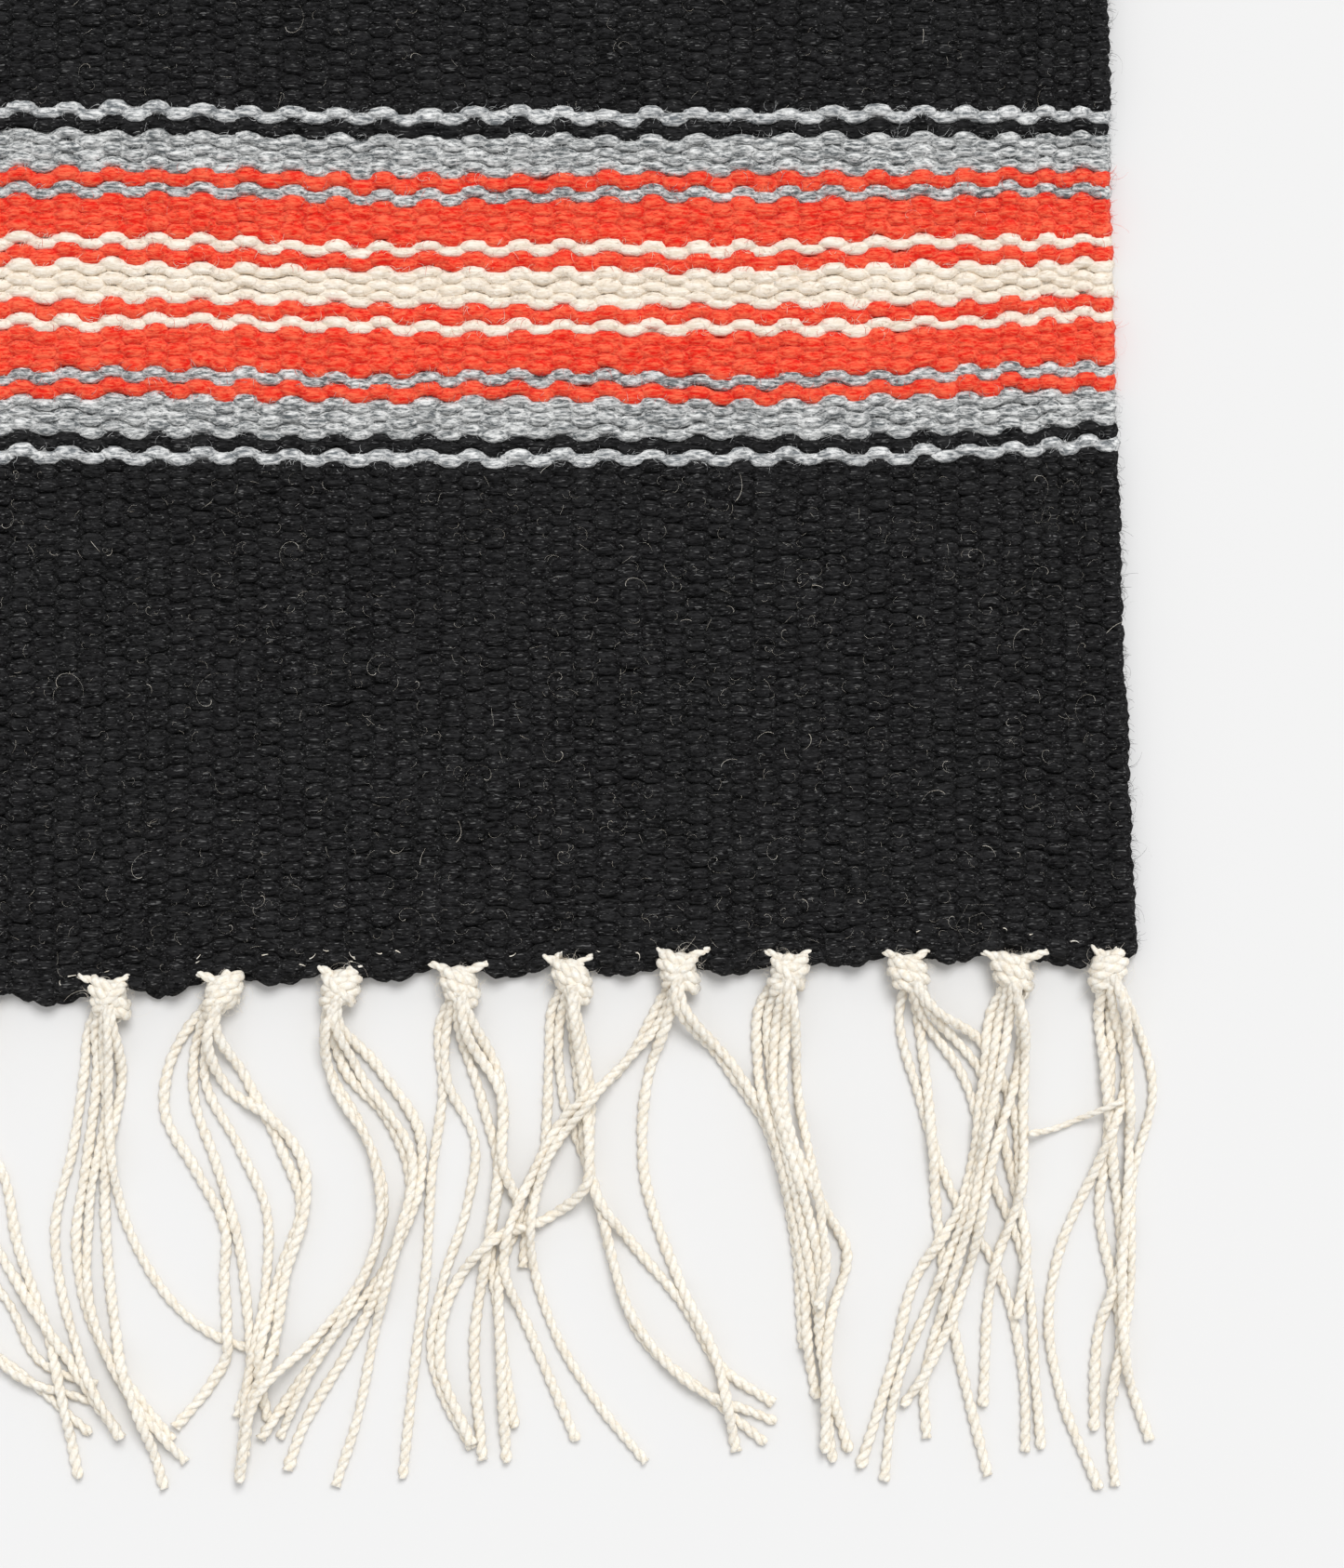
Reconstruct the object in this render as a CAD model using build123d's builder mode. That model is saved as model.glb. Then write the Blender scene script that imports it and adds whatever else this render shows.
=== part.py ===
"""Flat-woven wool runner rug with two striped borders and a knotted warp fringe at each end.

The rug lies flat on the floor. X runs across its width, Y along its length, Z up, and the origin is at the
middle of its underside. Weft yarn of one colour after another covers a warp of straight cords completely, so
each colour run is a slab with a row of tunnels, one for each warp end. Past the last pick at either end the
warp cords are gathered, tied in overhand knots and left as a fringe.
"""

from build123d import *
import os
from math import radians, tan

os.makedirs("parts", exist_ok=True)

# ---- driving dimensions, in millimetres ----
inch = 25.4
field_width = 30 * inch  # woven width, selvedge to selvedge
picks_per_inch = 20
border_picks_per_inch = 20.8  # the coloured yarns are a little finer and beat closer
warp_ends = 181
ends_per_knot = 5
ends_per_edge_knot = 3

weave_thickness = 4.4
warp_diameter = 2.1
selvedge_diameter = 2.6  # the outermost end on each side is a doubled, stouter cord
selvedge_cover = 1.2  # weft turned round the outside of the selvedge cord
tunnel_clearance = 0.05  # radial play between a warp cord and the weft around it

end_band_picks = 74
main_field_picks = 1668
line_picks = 2
band_picks = 6

knot_length = 10.0
knot_belly = 0.45  # how far along the knot it is thickest, as a share of its length
knot_half_width = 5.4
knot_half_height = 3.55
neck_half_width = 6.0  # where the gathered warp ends leave the weave
neck_half_height = 1.2
mouth_half_width = 5.7  # where the strands come out
knot_floor_gap = 0.3

strand_gap = 0.15  # between neighbouring strands where they leave a knot
straight_exit = 10.0  # each strand leaves its knot straight
bends_at = (0.4, 0.7, 1.0)  # shares of a strand's length at which its route turns or ends

# ---- the colour runs of a border, from the middle of the rug outwards ----
outer_half = [
    ("light_grey_line", line_picks),
    ("black_line", line_picks),
    ("grey_band", band_picks),
    ("red_line", line_picks),
    ("grey_line", line_picks),
    ("red_band", band_picks),
    ("ivory_line", line_picks),
    ("red_line", line_picks),
]
border = [*outer_half, ("ivory_band", band_picks), *reversed(outer_half)]
shades = {"light": "gray70", "grey": "gray60", "black": "gray10", "red": "orangered", "ivory": "ivory"}

# ---- sizes that follow from these ----
pick_pitch = inch / picks_per_inch
border_pick_pitch = inch / border_picks_per_inch
warp_pitch = field_width / warp_ends
warp_radius = warp_diameter / 2
mid_height = weave_thickness / 2
border_picks = sum(picks for _, picks in border)
main_field_length = main_field_picks * pick_pitch
border_length = border_picks * border_pick_pitch
end_band_length = end_band_picks * pick_pitch
field_length = main_field_length + 2 * (border_length + end_band_length)
end_y = field_length / 2

# ---- warp ends: one stout cord at each selvedge, equal ones between ----
selvedge_x = (field_width - selvedge_diameter) / 2 - selvedge_cover
inner_ends = warp_ends - 2
inner_warp_x = [warp_pitch * (i - (inner_ends - 1) / 2) for i in range(inner_ends)]

# ---- knots: a small group of ends at each selvedge, equal groups between ----
middle_knots = (warp_ends - 2 * ends_per_edge_knot) // ends_per_knot
knot_pitch = ends_per_knot * warp_pitch
middle_knot_x = [knot_pitch * (i - (middle_knots - 1) / 2) for i in range(middle_knots)]
edge_knot_x = (field_width - ends_per_edge_knot * warp_pitch) / 2

parts = {}


def finish(node, part, colour):
    """Labels a finished piece and writes it to its own file."""
    part.label = node
    part.color = Color(colour)
    export_step(part, f"parts/{node}.step")
    parts[node] = part


def weft_run(start_y, length):
    """A slab of weft that begins at start_y and runs towards -Y for a length. Its sides are rounded where the
    weft turns round the selvedge cords, and it has a tunnel for each warp end."""
    with BuildPart() as run:
        with BuildSketch(Plane.XZ.offset(-start_y)):
            with Locations((0, mid_height)):
                SlotOverall(field_width, weave_thickness)
            with Locations(*[(x, mid_height) for x in inner_warp_x]):
                Circle(warp_radius + tunnel_clearance, mode=Mode.SUBTRACT)
            with Locations((-selvedge_x, mid_height), (selvedge_x, mid_height)):
                Circle(selvedge_diameter / 2 + tunnel_clearance, mode=Mode.SUBTRACT)
        extrude(amount=length)
    return run.part


# ---- weft: the main field, then each border and end band, near and far ----
finish("main_field_black", weft_run(main_field_length / 2, main_field_length), shades["black"])

y = -main_field_length / 2
for number, (colour_run, picks) in enumerate(border, start=1):
    colour = shades[colour_run.split("_")[0]]
    length = picks * border_pick_pitch
    finish(f"near_stripe_{number:02d}_{colour_run}", weft_run(y, length), colour)
    finish(f"far_stripe_{number:02d}_{colour_run}", weft_run(length - y, length), colour)
    y -= length

finish("near_end_band_black", weft_run(y, end_band_length), shades["black"])
finish("far_end_band_black", weft_run(end_y, end_band_length), shades["black"])

# ---- warp: straight cords through the whole weave, hidden by the weft ----
with BuildPart() as warp_cords:
    with BuildSketch(Plane.XZ.offset(-end_y)):
        with Locations(*[(x, mid_height) for x in inner_warp_x]):
            Circle(warp_radius)
    extrude(amount=field_length)
finish("warp_cords", warp_cords.part, "wheat")

for side, x in (("left", -selvedge_x), ("right", selvedge_x)):
    with BuildPart() as selvedge_cord:
        with BuildSketch(Plane.XZ.offset(-end_y)):
            with Locations((x, mid_height)):
                Circle(selvedge_diameter / 2)
        extrude(amount=field_length)
    finish(f"selvedge_cord_{side}", selvedge_cord.part, "wheat")

# ---- one overhand knot: a flat neck at the weave, a round belly, and a flat mouth for the strands ----
mouth_half_height = warp_radius + strand_gap
with BuildPart() as knot:
    with BuildSketch(Plane.XZ.offset(end_y)):
        with Locations((0, mid_height)):
            Ellipse(neck_half_width, neck_half_height)
    with BuildSketch(Plane.XZ.offset(end_y + knot_belly * knot_length)):
        with Locations((0, knot_half_height + knot_floor_gap)):
            Ellipse(knot_half_width, knot_half_height)
    with BuildSketch(Plane.XZ.offset(end_y + knot_length)):
        with Locations((0, mouth_half_height + knot_floor_gap / 2)):
            Ellipse(mouth_half_width, mouth_half_height)
    loft()

with BuildPart() as near_knots:
    with Locations(*[(x, 0, 0) for x in (-edge_knot_x, *middle_knot_x, edge_knot_x)]):
        add(knot.part)
finish("near_knots", near_knots.part, "antiquewhite")

with BuildPart() as far_knots:
    mirror(near_knots.part, about=Plane.XZ)
finish("far_knots", far_knots.part, "antiquewhite")

# ---- fringe strands: each lies on the floor, in straight runs joined by wide tangent arcs ----
mouth_y = -end_y - knot_length
exit_pitch = warp_diameter + strand_gap


def corner_radii(points):
    """The largest arc at each corner that its two runs leave room for."""
    radii = []
    for before, here, after in zip(points, points[1:], points[2:]):
        come = Vector(*here) - Vector(*before)
        go = Vector(*after) - Vector(*here)
        shorter = min(come.length, go.length)
        radii.append(0.45 * shorter / tan(radians(come.get_angle(go) / 2)))
    return radii


def tassel(drifts, pitches, lengths):
    """Strands side by side, one for each of lengths. drifts is how far the tassel has strayed sideways at each
    bend and at its tips, and pitches the strand pitch there."""
    middle = (len(lengths) - 1) / 2
    with BuildPart() as strands:
        for number, length in enumerate(lengths):
            place = number - middle
            start_x = place * exit_pitch
            route = [(start_x, mouth_y), (start_x, mouth_y - straight_exit)]
            for share, drift, pitch in zip(bends_at, drifts, pitches):
                route.append((place * pitch + drift, mouth_y - share * length))
            with BuildLine(Plane.XY.offset(warp_radius)) as line:
                FilletPolyline(*route, radius=corner_radii(route))
            with BuildSketch(Plane.XZ.offset(-mouth_y)):
                with Locations((start_x, warp_radius)):
                    Circle(warp_radius)
            sweep(path=line.line)
    return strands.part


fan = (2.9, 3.3, 3.6)
tassels = [
    tassel((0.9, -0.5, 1.2), fan, (84.0, 88.5, 82.5, 86.5, 80.0)),
    tassel((-0.8, 0.9, -0.6), fan, (79.5, 85.5, 89.5, 83.0, 87.5)),
    tassel((0.6, 1.3, 0.2), fan, (86.0, 81.5, 84.5, 88.0, 82.0)),
]
narrow_fan = (2.5, 2.7, 2.9)
edge_tassel = tassel((-0.9, -0.3, -1.2), narrow_fan, (82.0, 86.5, 89.0, 83.5))

with BuildPart() as near_fringe:
    for kind, strands in enumerate(tassels):
        with Locations(*[(x, 0, 0) for x in middle_knot_x[kind :: len(tassels)]]):
            add(strands)
    with Locations((edge_knot_x, 0, 0)):
        add(edge_tassel)
    with Locations((-edge_knot_x, 0, 0)):
        add(edge_tassel.mirror(Plane.YZ))
finish("near_fringe", near_fringe.part, "antiquewhite")

with BuildPart() as far_fringe:
    mirror(near_fringe.part, about=Plane.XZ)
finish("far_fringe", far_fringe.part, "antiquewhite")

rug = Compound(label="runner_rug", children=list(parts.values()))
size = rug.bounding_box().size
print(f"{len(parts)} nodes, {size.X:.1f} x {size.Y:.1f} x {size.Z:.2f} mm, weave {field_length:.1f} mm long")
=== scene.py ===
"""Flat-woven wool runner rug: the finished look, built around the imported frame.

Shapes are worked out in millimetres in the row frame (X across, Y along, Z up) and written in metres.
"Near" is the -Y end. Outward means away from the middle of the rug, along Y. Near the +X, -Y corner every
pair of picks is a length of yarn. Elsewhere the end bands and the borders are a closed relief of the same
stitches, and the plain field is a ribbed slab.
"""

import math

import bpy
import numpy as np
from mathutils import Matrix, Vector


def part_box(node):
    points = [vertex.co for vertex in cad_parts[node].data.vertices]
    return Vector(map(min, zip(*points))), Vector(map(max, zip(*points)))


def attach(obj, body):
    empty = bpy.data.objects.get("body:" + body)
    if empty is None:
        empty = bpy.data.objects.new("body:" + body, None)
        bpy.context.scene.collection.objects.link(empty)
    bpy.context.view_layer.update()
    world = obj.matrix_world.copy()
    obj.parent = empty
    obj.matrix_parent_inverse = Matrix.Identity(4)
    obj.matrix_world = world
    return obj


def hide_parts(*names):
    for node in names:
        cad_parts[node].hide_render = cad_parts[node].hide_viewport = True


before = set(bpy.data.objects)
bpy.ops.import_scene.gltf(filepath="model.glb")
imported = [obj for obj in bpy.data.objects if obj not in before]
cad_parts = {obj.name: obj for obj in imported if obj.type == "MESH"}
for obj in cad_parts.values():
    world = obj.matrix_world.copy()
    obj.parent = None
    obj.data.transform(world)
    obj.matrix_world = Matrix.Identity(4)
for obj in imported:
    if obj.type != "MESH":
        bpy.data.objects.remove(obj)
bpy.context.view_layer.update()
rng = np.random.default_rng(1907)
MM = 0.001


# ---- sizes, from the frame ----
def span(node):
    """Lowest and highest corner of a CAD node, in millimetres."""
    return [np.array(corner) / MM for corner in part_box(node)]


half_width, far_field_y, thickness = span("main_field_black")[1]
end_y = -span("near_end_band_black")[0][1]
line_low, line_high = span("near_stripe_04_red_line")
border_pitch = (line_high[1] - line_low[1]) / 2
cord_low, cord_high = span("selvedge_cord_right")
selvedge_x = (cord_low[0] + cord_high[0]) / 2
middle = thickness / 2

FIELD_PITCH = 25.4 / 20  # from pick to pick in the black weave
WARP_ENDS = 181
INNER_END = (WARP_ENDS - 3) // 2  # ends are numbered from the middle; the next one is the selvedge cord
SELVEDGE = INNER_END + 1
ENDS_PER_KNOT = 5
ENDS_PER_EDGE_KNOT = 3
MIDDLE_KNOTS = 35
warp_pitch = 2 * half_width / WARP_ENDS
knot_pitch = ENDS_PER_KNOT * warp_pitch
edge_knot_x = half_width - ENDS_PER_EDGE_KNOT * warp_pitch / 2

YARN_FROM_END = 38  # warp end where the yarn-by-yarn corner begins
YARN_PICKS = 150  # picks from the near end that the corner covers


# ---- small mathematics ----
def smooth(t):
    """Eases from 0 to 1 as t does, with no corner at either end."""
    t = np.clip(t, 0, 1)
    return t * t * (3 - 2 * t)


def curve(at, points):
    """Smooth curve through given (position, value) points, read at the given positions."""
    knots, values = np.array(points, float).T
    slopes = np.gradient(values, knots)
    k = np.clip(np.searchsorted(knots, at) - 1, 0, len(knots) - 2)
    gap = knots[k + 1] - knots[k]
    t = np.clip((at - knots[k]) / gap, 0, 1)
    return (
        values[k] * (1 + 2 * t) * (1 - t) ** 2
        + slopes[k] * gap * t * (1 - t) ** 2
        + values[k + 1] * t * t * (3 - 2 * t)
        + slopes[k + 1] * gap * t * t * (t - 1)
    )


def route(points, step):
    """A smooth line through given points, as points about step apart."""
    points = np.array(points, float)
    chord = np.r_[0, np.cumsum(np.linalg.norm(np.diff(points, axis=0), axis=1))]
    at = np.linspace(0, chord[-1], max(4, int(chord[-1] / step) + 1))
    return np.stack([curve(at, np.c_[chord, points[:, a]]) for a in range(points.shape[1])], axis=1)


def waves(x, y, parts):
    """Sum of slanted waves, each given as (height, advance along x, advance along y) for one radian."""
    return sum(height * np.sin(x / along_x + y / along_y) for height, along_x, along_y in parts)


# ---- how the used rug lies ----
PULL_IN = 6.0  # how much narrower each side is away from the woven ends
PULL_OVER = 110.0  # distance from an end over which that comes in
PULL_POWER = 1.3  # above 1, it comes in slowly at first
PULL_WIDTH = 40.0  # only the outermost warp ends crowd together
SETTLE = 94.0  # from this far inside an end, stripes bow by STRIPE_BOW
BORDER = 66.0  # over this length further in, INNER_BOW is added to it
BOW_FADES = 300.0  # and over this length beyond the border, the bow dies away
SCALLOP = 1.15  # how far the last picks bulge outward between knots, and draw in at them
SCALLOP_FADES = 4.5
WANDER = [(0.22, 31, 17), (0.14, -13, 6.1)]  # waves that shift the warp sideways
WOBBLE = [(0.16, 5.3, 2.9), (0.2, 11.7, -4.3), (0.18, 29, 9)]  # waves that shift the picks along the rug
BUCKLE = 0.25  # mean rise of the upper face where the rug doesn't lie quite flat
BUCKLE_SHAPE = [(1, 63, 127)], [(1, -211, 83)]  # two long waves, multiplied
RIPPLE = [(0.1, 19, 23)]
END_WAVE = [  # (x, how far the last pick lies towards the middle)
    (-381, 3.5), (-335, 2.5), (-270, -0.5), (-190, -2.5), (-110, 0.5), (-40, 1.5), (40, -0.5),
    (110, -3.0), (165, -5.2), (186, -4.4), (211, -1.7), (238, -0.5), (286, 0.7), (325, 2.0), (346, 2.9),
    (365, 2.8), (381, 2.5),
]  # fmt: skip
STRIPE_BOW = [
    (-381, 1.2), (-310, -0.9), (-200, 0.7), (-90, -0.9), (30, 0.6), (140, 1.0), (179, 1.0),
    (203, 1.1), (238, 0.1), (273, 0.4), (308, 0.1), (342, 1.2), (368, 2.6), (381, 3.2),
]  # fmt: skip
INNER_BOW = [
    (-381, 0), (60, 0), (140, 0.8), (200, 0.7), (273, 0.3), (308, 0.5), (342, -0.1), (368, -1.4), (381, -1.9),
]  # fmt: skip


def settle(points):
    """Moves points of the flat, regular weave to where the rug has them."""
    x, y, z = points[..., 0], points[..., 1], points[..., 2]
    side = np.sign(y)
    depth = np.clip(end_y - np.abs(y), 0, None)
    pull = PULL_IN * (1 - np.exp(-((depth / PULL_OVER) ** PULL_POWER)))
    crowd = smooth((np.abs(x) - half_width + PULL_WIDTH) / PULL_WIDTH) ** 2
    new_x = x - np.sign(x) * pull * crowd + waves(x, y, WANDER) * (1 - crowd)
    along = -side * x  # the far end is the near one turned round
    bow = curve(along, STRIPE_BOW) + curve(along, INNER_BOW) * smooth((depth - SETTLE) / BORDER)
    bow = bow * np.exp(-np.clip(depth - SETTLE - BORDER, 0, None) / BOW_FADES)
    inward = curve(along, END_WAVE) * (1 - smooth(depth / SETTLE)) + bow * smooth(depth / SETTLE)
    bulge = -SCALLOP * np.cos(2 * np.pi * x / knot_pitch) * np.exp(-depth / SCALLOP_FADES)
    new_y = y + side * (bulge - inward + waves(x, y, WOBBLE))
    first_wave, second_wave = BUCKLE_SHAPE
    rise = BUCKLE * (1 + waves(x, y, first_wave) * waves(x, y, second_wave)) + waves(x, y, RIPPLE)
    return np.stack([new_x, new_y, np.maximum(z + np.clip(rise, 0, None) * (z > middle), 0)], axis=-1)


# ---- meshes ----
UV_START, UV_SPAN = 0.002, 0.996  # each piece's flat layout fills its square, apart from a thin margin


class Shape:
    """Collects points and faces in millimetres until they become one piece."""

    def __init__(self):
        self.points, self.faces, self.count = [], [], 0

    def add(self, points, faces):
        points = np.asarray(points, float).reshape(-1, 3)
        self.points.append(points)
        self.faces += [f + self.count for f in faces]
        self.count += len(points)

    def grid(self, rows):
        """Closed tubes, capped at both ends, from rings of points: (tubes, rings, points in a ring, 3)."""
        many, length, around = rows.shape[:3]
        index = np.arange(many * length * around).reshape(many, length, around)
        a, b = index[:, :-1], index[:, 1:]
        quads = np.stack([a, np.roll(a, -1, 2), np.roll(b, -1, 2), b], axis=-1).reshape(-1, 4)
        self.add(rows, [quads, index[:, 0, ::-1], index[:, -1]])

    def slab(self, top, bottom):
        """Closed block between two equal grids of points, (rows, columns, 3)."""
        over = np.arange(top[..., 0].size).reshape(top.shape[:2])
        under = over + over.size
        faces = []
        for index, turn in ((over, 1), (under, -1)):
            corners = [index[:-1, :-1], index[:-1, 1:], index[1:, 1:], index[1:, :-1]]
            faces.append(np.stack(corners[::turn], -1).reshape(-1, 4))
        rim = [(over[0], under[0]), (over[:, -1], under[:, -1]), (over[-1, ::-1], under[-1, ::-1]),
               (over[::-1, 0], under[::-1, 0])]  # fmt: skip
        for high, low in rim:
            faces.append(np.stack([high[:-1], low[:-1], low[1:], high[1:]], -1))
        self.add(np.concatenate([top.reshape(-1, 3), bottom.reshape(-1, 3)]), faces)

    def piece(self, name, material, slot_name):
        """Makes the one mesh object, with its material and body; slot_name is not used."""
        co = (np.concatenate(self.points) * MM).astype(np.float32)
        sizes = np.concatenate([np.full(len(f), f.shape[1]) for f in self.faces])
        loops = np.concatenate([f.ravel() for f in self.faces])
        mesh = bpy.data.meshes.new(name)
        mesh.vertices.add(len(co))
        mesh.vertices.foreach_set("co", co.ravel())
        mesh.loops.add(len(loops))
        mesh.loops.foreach_set("vertex_index", loops.astype(np.int32))
        mesh.polygons.add(len(sizes))
        mesh.polygons.foreach_set("loop_start", (np.cumsum(sizes) - sizes).astype(np.int32))
        mesh.polygons.foreach_set("use_smooth", np.ones(len(sizes), bool))
        mesh.update(calc_edges=True)
        low, high = co.min(0)[:2], co.max(0)[:2]
        flat = mesh.uv_layers.new(name="OFBake")
        flat.data.foreach_set("uv", (UV_START + UV_SPAN * (co[loops, :2] - low) / (high - low)).ravel())
        mesh.materials.append(material)
        ob = bpy.data.objects.new(name, mesh)
        bpy.context.scene.collection.objects.link(ob)
        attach(ob, "root")
        return ob


def sweep(centres, side, up, around):
    """Rings of points round lines of centres; side and up are the half-axes of each ring."""
    turn = np.arange(around) * 2 * np.pi / around
    return (
        centres[..., None, :]
        + side[..., None, :] * np.cos(turn)[:, None]
        + up[..., None, :] * np.sin(turn)[:, None]
    )


# ---- weft ----
FLOAT_RISE = 0.95  # how far a pick swings above and below the middle of the weave
FULL_RISE = 0.4  # how much further that is for a yarn of twice the bulk
STEEP = 1.25  # how sharply it dives between two warp ends
AT_CROSSING, TOWARDS_TOP = 0.84, 0.16  # how full its swing is at a crossing, and what it gains on top
OVER = (1.36, 1.22)  # half-width and half-thickness of the yarn on top of a warp end
CROSSING = (1.1, 1.36)  # and where it dives
MEET = 0.45  # how far the two yarns of a pair draw together where they cross
BULK = {"red": 1.2, "ivory": 0.94, "grey": 0.93}  # how full each dyed yarn is, beside the others in a border
FIELD_YARN = {"bulk": 1.12, "crossing": (0.88, 0.98), "meet": 0.0}  # black, outside the borders
HEIGHT_JITTER, PLACE_JITTER, WIDTH_JITTER = 0.1, 0.19, 0.12  # from stitch to stitch
UNEVEN = 0.075  # roughness of the yarn's own surface
END_STEPS = np.array([-0.5, -0.45, -0.36, -0.2, 0.0, 0.2, 0.36, 0.45])  # points along a pick, in warp ends
YARN_SIDES = 8
TURN_STEPS = 7
TURN_WIDTH = 1.7  # half-width of the yarn where it turns round the selvedge
TURN_JITTER = 0.14  # how unevenly it reaches past the selvedge cord, at random
TURN_WAVE = (0.22, 7.3, 3.1)  # and in waves: height, and the picks in which each phase advances by one radian
LAST_PAIR = (1.2, 1.35)  # the outermost pair of picks, beaten by no other, is wider and thicker by these
SHIFT_SIZES = [[0.2], [0.09]]  # how far a warp end strays sideways, and from the mean thickness

woven = sorted((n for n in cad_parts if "stripe" in n or "black" in n), key=lambda n: span(n)[0][1])
runs, breaks = {}, [(0, -end_y)]
for node in woven:
    low_y, high_y = span(node)[0][1], span(node)[1][1]
    pitch = border_pitch if "stripe" in node else FIELD_PITCH
    first = breaks[-1][0]
    last = first + 2 * round((high_y - low_y) / pitch / 2)
    runs[node] = (first, last)
    breaks.append((last, high_y))
break_picks, break_y = np.array(breaks, float).T


def pick_y(pick):
    """Y of the middle of a pick, counted from the near end of the rug."""
    return np.interp(pick + 0.5, break_picks, break_y)


def end_x(u):
    """X of a position counted in warp ends from the middle of the rug."""
    side = np.abs(u)
    return np.sign(u) * np.interp(side, [0, INNER_END, SELVEDGE, SELVEDGE + 0.5],
                                  [0, INNER_END * warp_pitch, selvedge_x, half_width])  # fmt: skip


# no warp end is quite in its place, or as thick as the next: sideways shift and lift of each
end_number = np.arange(SELVEDGE + 2)
end_shift, end_lift = rng.normal(0, SHIFT_SIZES, (2, len(end_number))) * (end_number < INNER_END)


def yarn(shape, first, last, bulk=1.0, crossing=CROSSING, meet=MEET):
    """Weft yarn of picks first to last: one length for each pair, turned round the right-hand selvedge."""
    pairs = np.arange(first, last, 2)
    u = (np.arange(YARN_FROM_END, SELVEDGE + 1)[:, None] + END_STEPS).ravel()[: -len(END_STEPS) // 2 + 1]
    turn = np.linspace(np.pi / 2, -np.pi / 2, TURN_STEPS + 2)[1:-1]
    slack = rng.normal(0, 1, (3, len(pairs), 2, len(end_number)))

    def jitter(kind, row, size):
        return size * np.stack([np.interp(u, end_number, s) for s in slack[kind, :, row]])

    def half(row):
        """Centres, half-widths and half-thicknesses of the first or second pick of every pair."""
        phase = np.cos(np.pi * (u + pairs[:, None] + row))
        flat = np.abs(phase)
        swing = np.tanh(STEEP * phase) / np.tanh(STEEP) * (AT_CROSSING + TOWARDS_TOP * flat)
        z = middle + (FLOAT_RISE + FULL_RISE * (bulk - 1)) * swing + jitter(0, row, HEIGHT_JITTER)
        z += np.interp(u, end_number, end_lift) * np.sign(swing)
        own, partner = pick_y(pairs[:, None] + row), pick_y(pairs[:, None] + 1 - row)
        y = own + meet * (1 - flat) * (partner - own) / 2 + jitter(1, row, PLACE_JITTER)
        x = np.broadcast_to(end_x(u) + np.interp(u, end_number, end_shift), y.shape)
        wide = bulk * (crossing[0] + (OVER[0] - crossing[0]) * flat) + jitter(2, row, WIDTH_JITTER)
        deep = crossing[1] + (OVER[1] - crossing[1]) * flat
        return np.stack([x, y, z], -1), wide, deep

    (out, wide_out, deep_out), (back, wide_back, deep_back) = half(0), half(1)
    reach = half_width - OVER[1] - selvedge_x + rng.normal(0, TURN_JITTER, (len(pairs), 1))
    tall, slow, quick = TURN_WAVE
    reach = reach + tall * np.sin(pairs[:, None] / slow) * np.sin(pairs[:, None] / quick)
    height = middle + FLOAT_RISE * np.sin(turn) * np.ones_like(reach)
    bend = np.stack([selvedge_x + reach * np.cos(turn), 0 * height, height], -1)
    across = (pick_y(pairs + 1) - pick_y(pairs))[:, None]
    bend[..., 1] = pick_y(pairs)[:, None] + across * (1 - np.sin(turn)) / 2
    path = np.concatenate([out, bend, back[:, ::-1]], axis=1)
    even = np.ones((len(pairs), TURN_STEPS))
    wide = np.concatenate([wide_out, even * bulk * TURN_WIDTH, wide_back[:, ::-1]], axis=1)
    deep = np.concatenate([deep_out, even * OVER[1], deep_back[:, ::-1]], axis=1)
    if first == 0:
        wide[0] *= LAST_PAIR[0]
        deep[0] *= LAST_PAIR[1]
    along = np.gradient(path, axis=1)
    along /= np.linalg.norm(along[..., [0, 2]], axis=-1, keepdims=True)
    up = np.stack([-along[..., 2], 0 * deep, along[..., 0]], -1) * deep[..., None]
    side = np.stack([0 * wide, wide, 0 * wide], -1)
    rings = sweep(path, side, up, YARN_SIDES)
    shape.grid(settle(rings + rng.normal(0, UNEVEN, rings.shape)))


STITCH_AT = [0.0, 0.6, 1.4]  # rows of points along a stitch, in picks
STITCH_RISE = [0.0, 0.85, 0.85]  # and their rise, from one dip between stitches to the next
DIP, CREST, GROOVE = 3.55, 4.4, 3.6  # heights: between stitches, on a stitch, between warp ends
RELIEF_UNEVEN = 0.07


def relief(shape, first, last, ends):
    """The same stitches as closed ribs, one for each warp end, between picks first and last."""
    stitches = (last - first) // 2
    rows = np.arange(3 * stitches + 1)
    rise = np.array([STITCH_RISE[k % 3] for k in rows])
    step = np.array([STITCH_AT[k % 3] + 2 * (k // 3) for k in rows])
    across = np.array([-0.5, -0.2, 0.2, 0.5])
    crown = np.array([0.0, 1.0, 1.0, 0.0])
    many = np.array(ends)
    parity = (many + first) % 2
    uneven = rng.normal(0, RELIEF_UNEVEN, (2, len(many), len(rows), len(crown))) * crown

    def layer(offset, sign):
        """Upper or lower skin. Stitches of next-door ends are a pick apart, and meet half-way between."""
        half_way = np.where(crown > 0, offset[:, None, None], 0.5)
        y = pick_y(first + half_way - 1 + step[:, None])
        x = end_x(many[:, None] + across)[:, None, :]
        height = np.where(crown > 0, DIP + (CREST - DIP) * rise[:, None], GROOVE) - middle
        z = middle + sign * height + uneven[0 if sign > 0 else 1]
        return np.stack(np.broadcast_arrays(x, y, z), -1)

    top, bottom = layer(parity, 1), layer(1 - parity, -1)
    shape.grid(settle(np.concatenate([top, bottom[:, :, ::-1]], axis=2)))


RIB_PICKS = 8  # the plain field away from the corner is ribbed, one row of points for each this many picks
RIB_UNEVEN = 0.08
CORE = 0.8  # half-thickness of the field's slab where the yarn of the corner hides it
CORE_INSET = 1.5  # and how far its side is drawn in there


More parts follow.
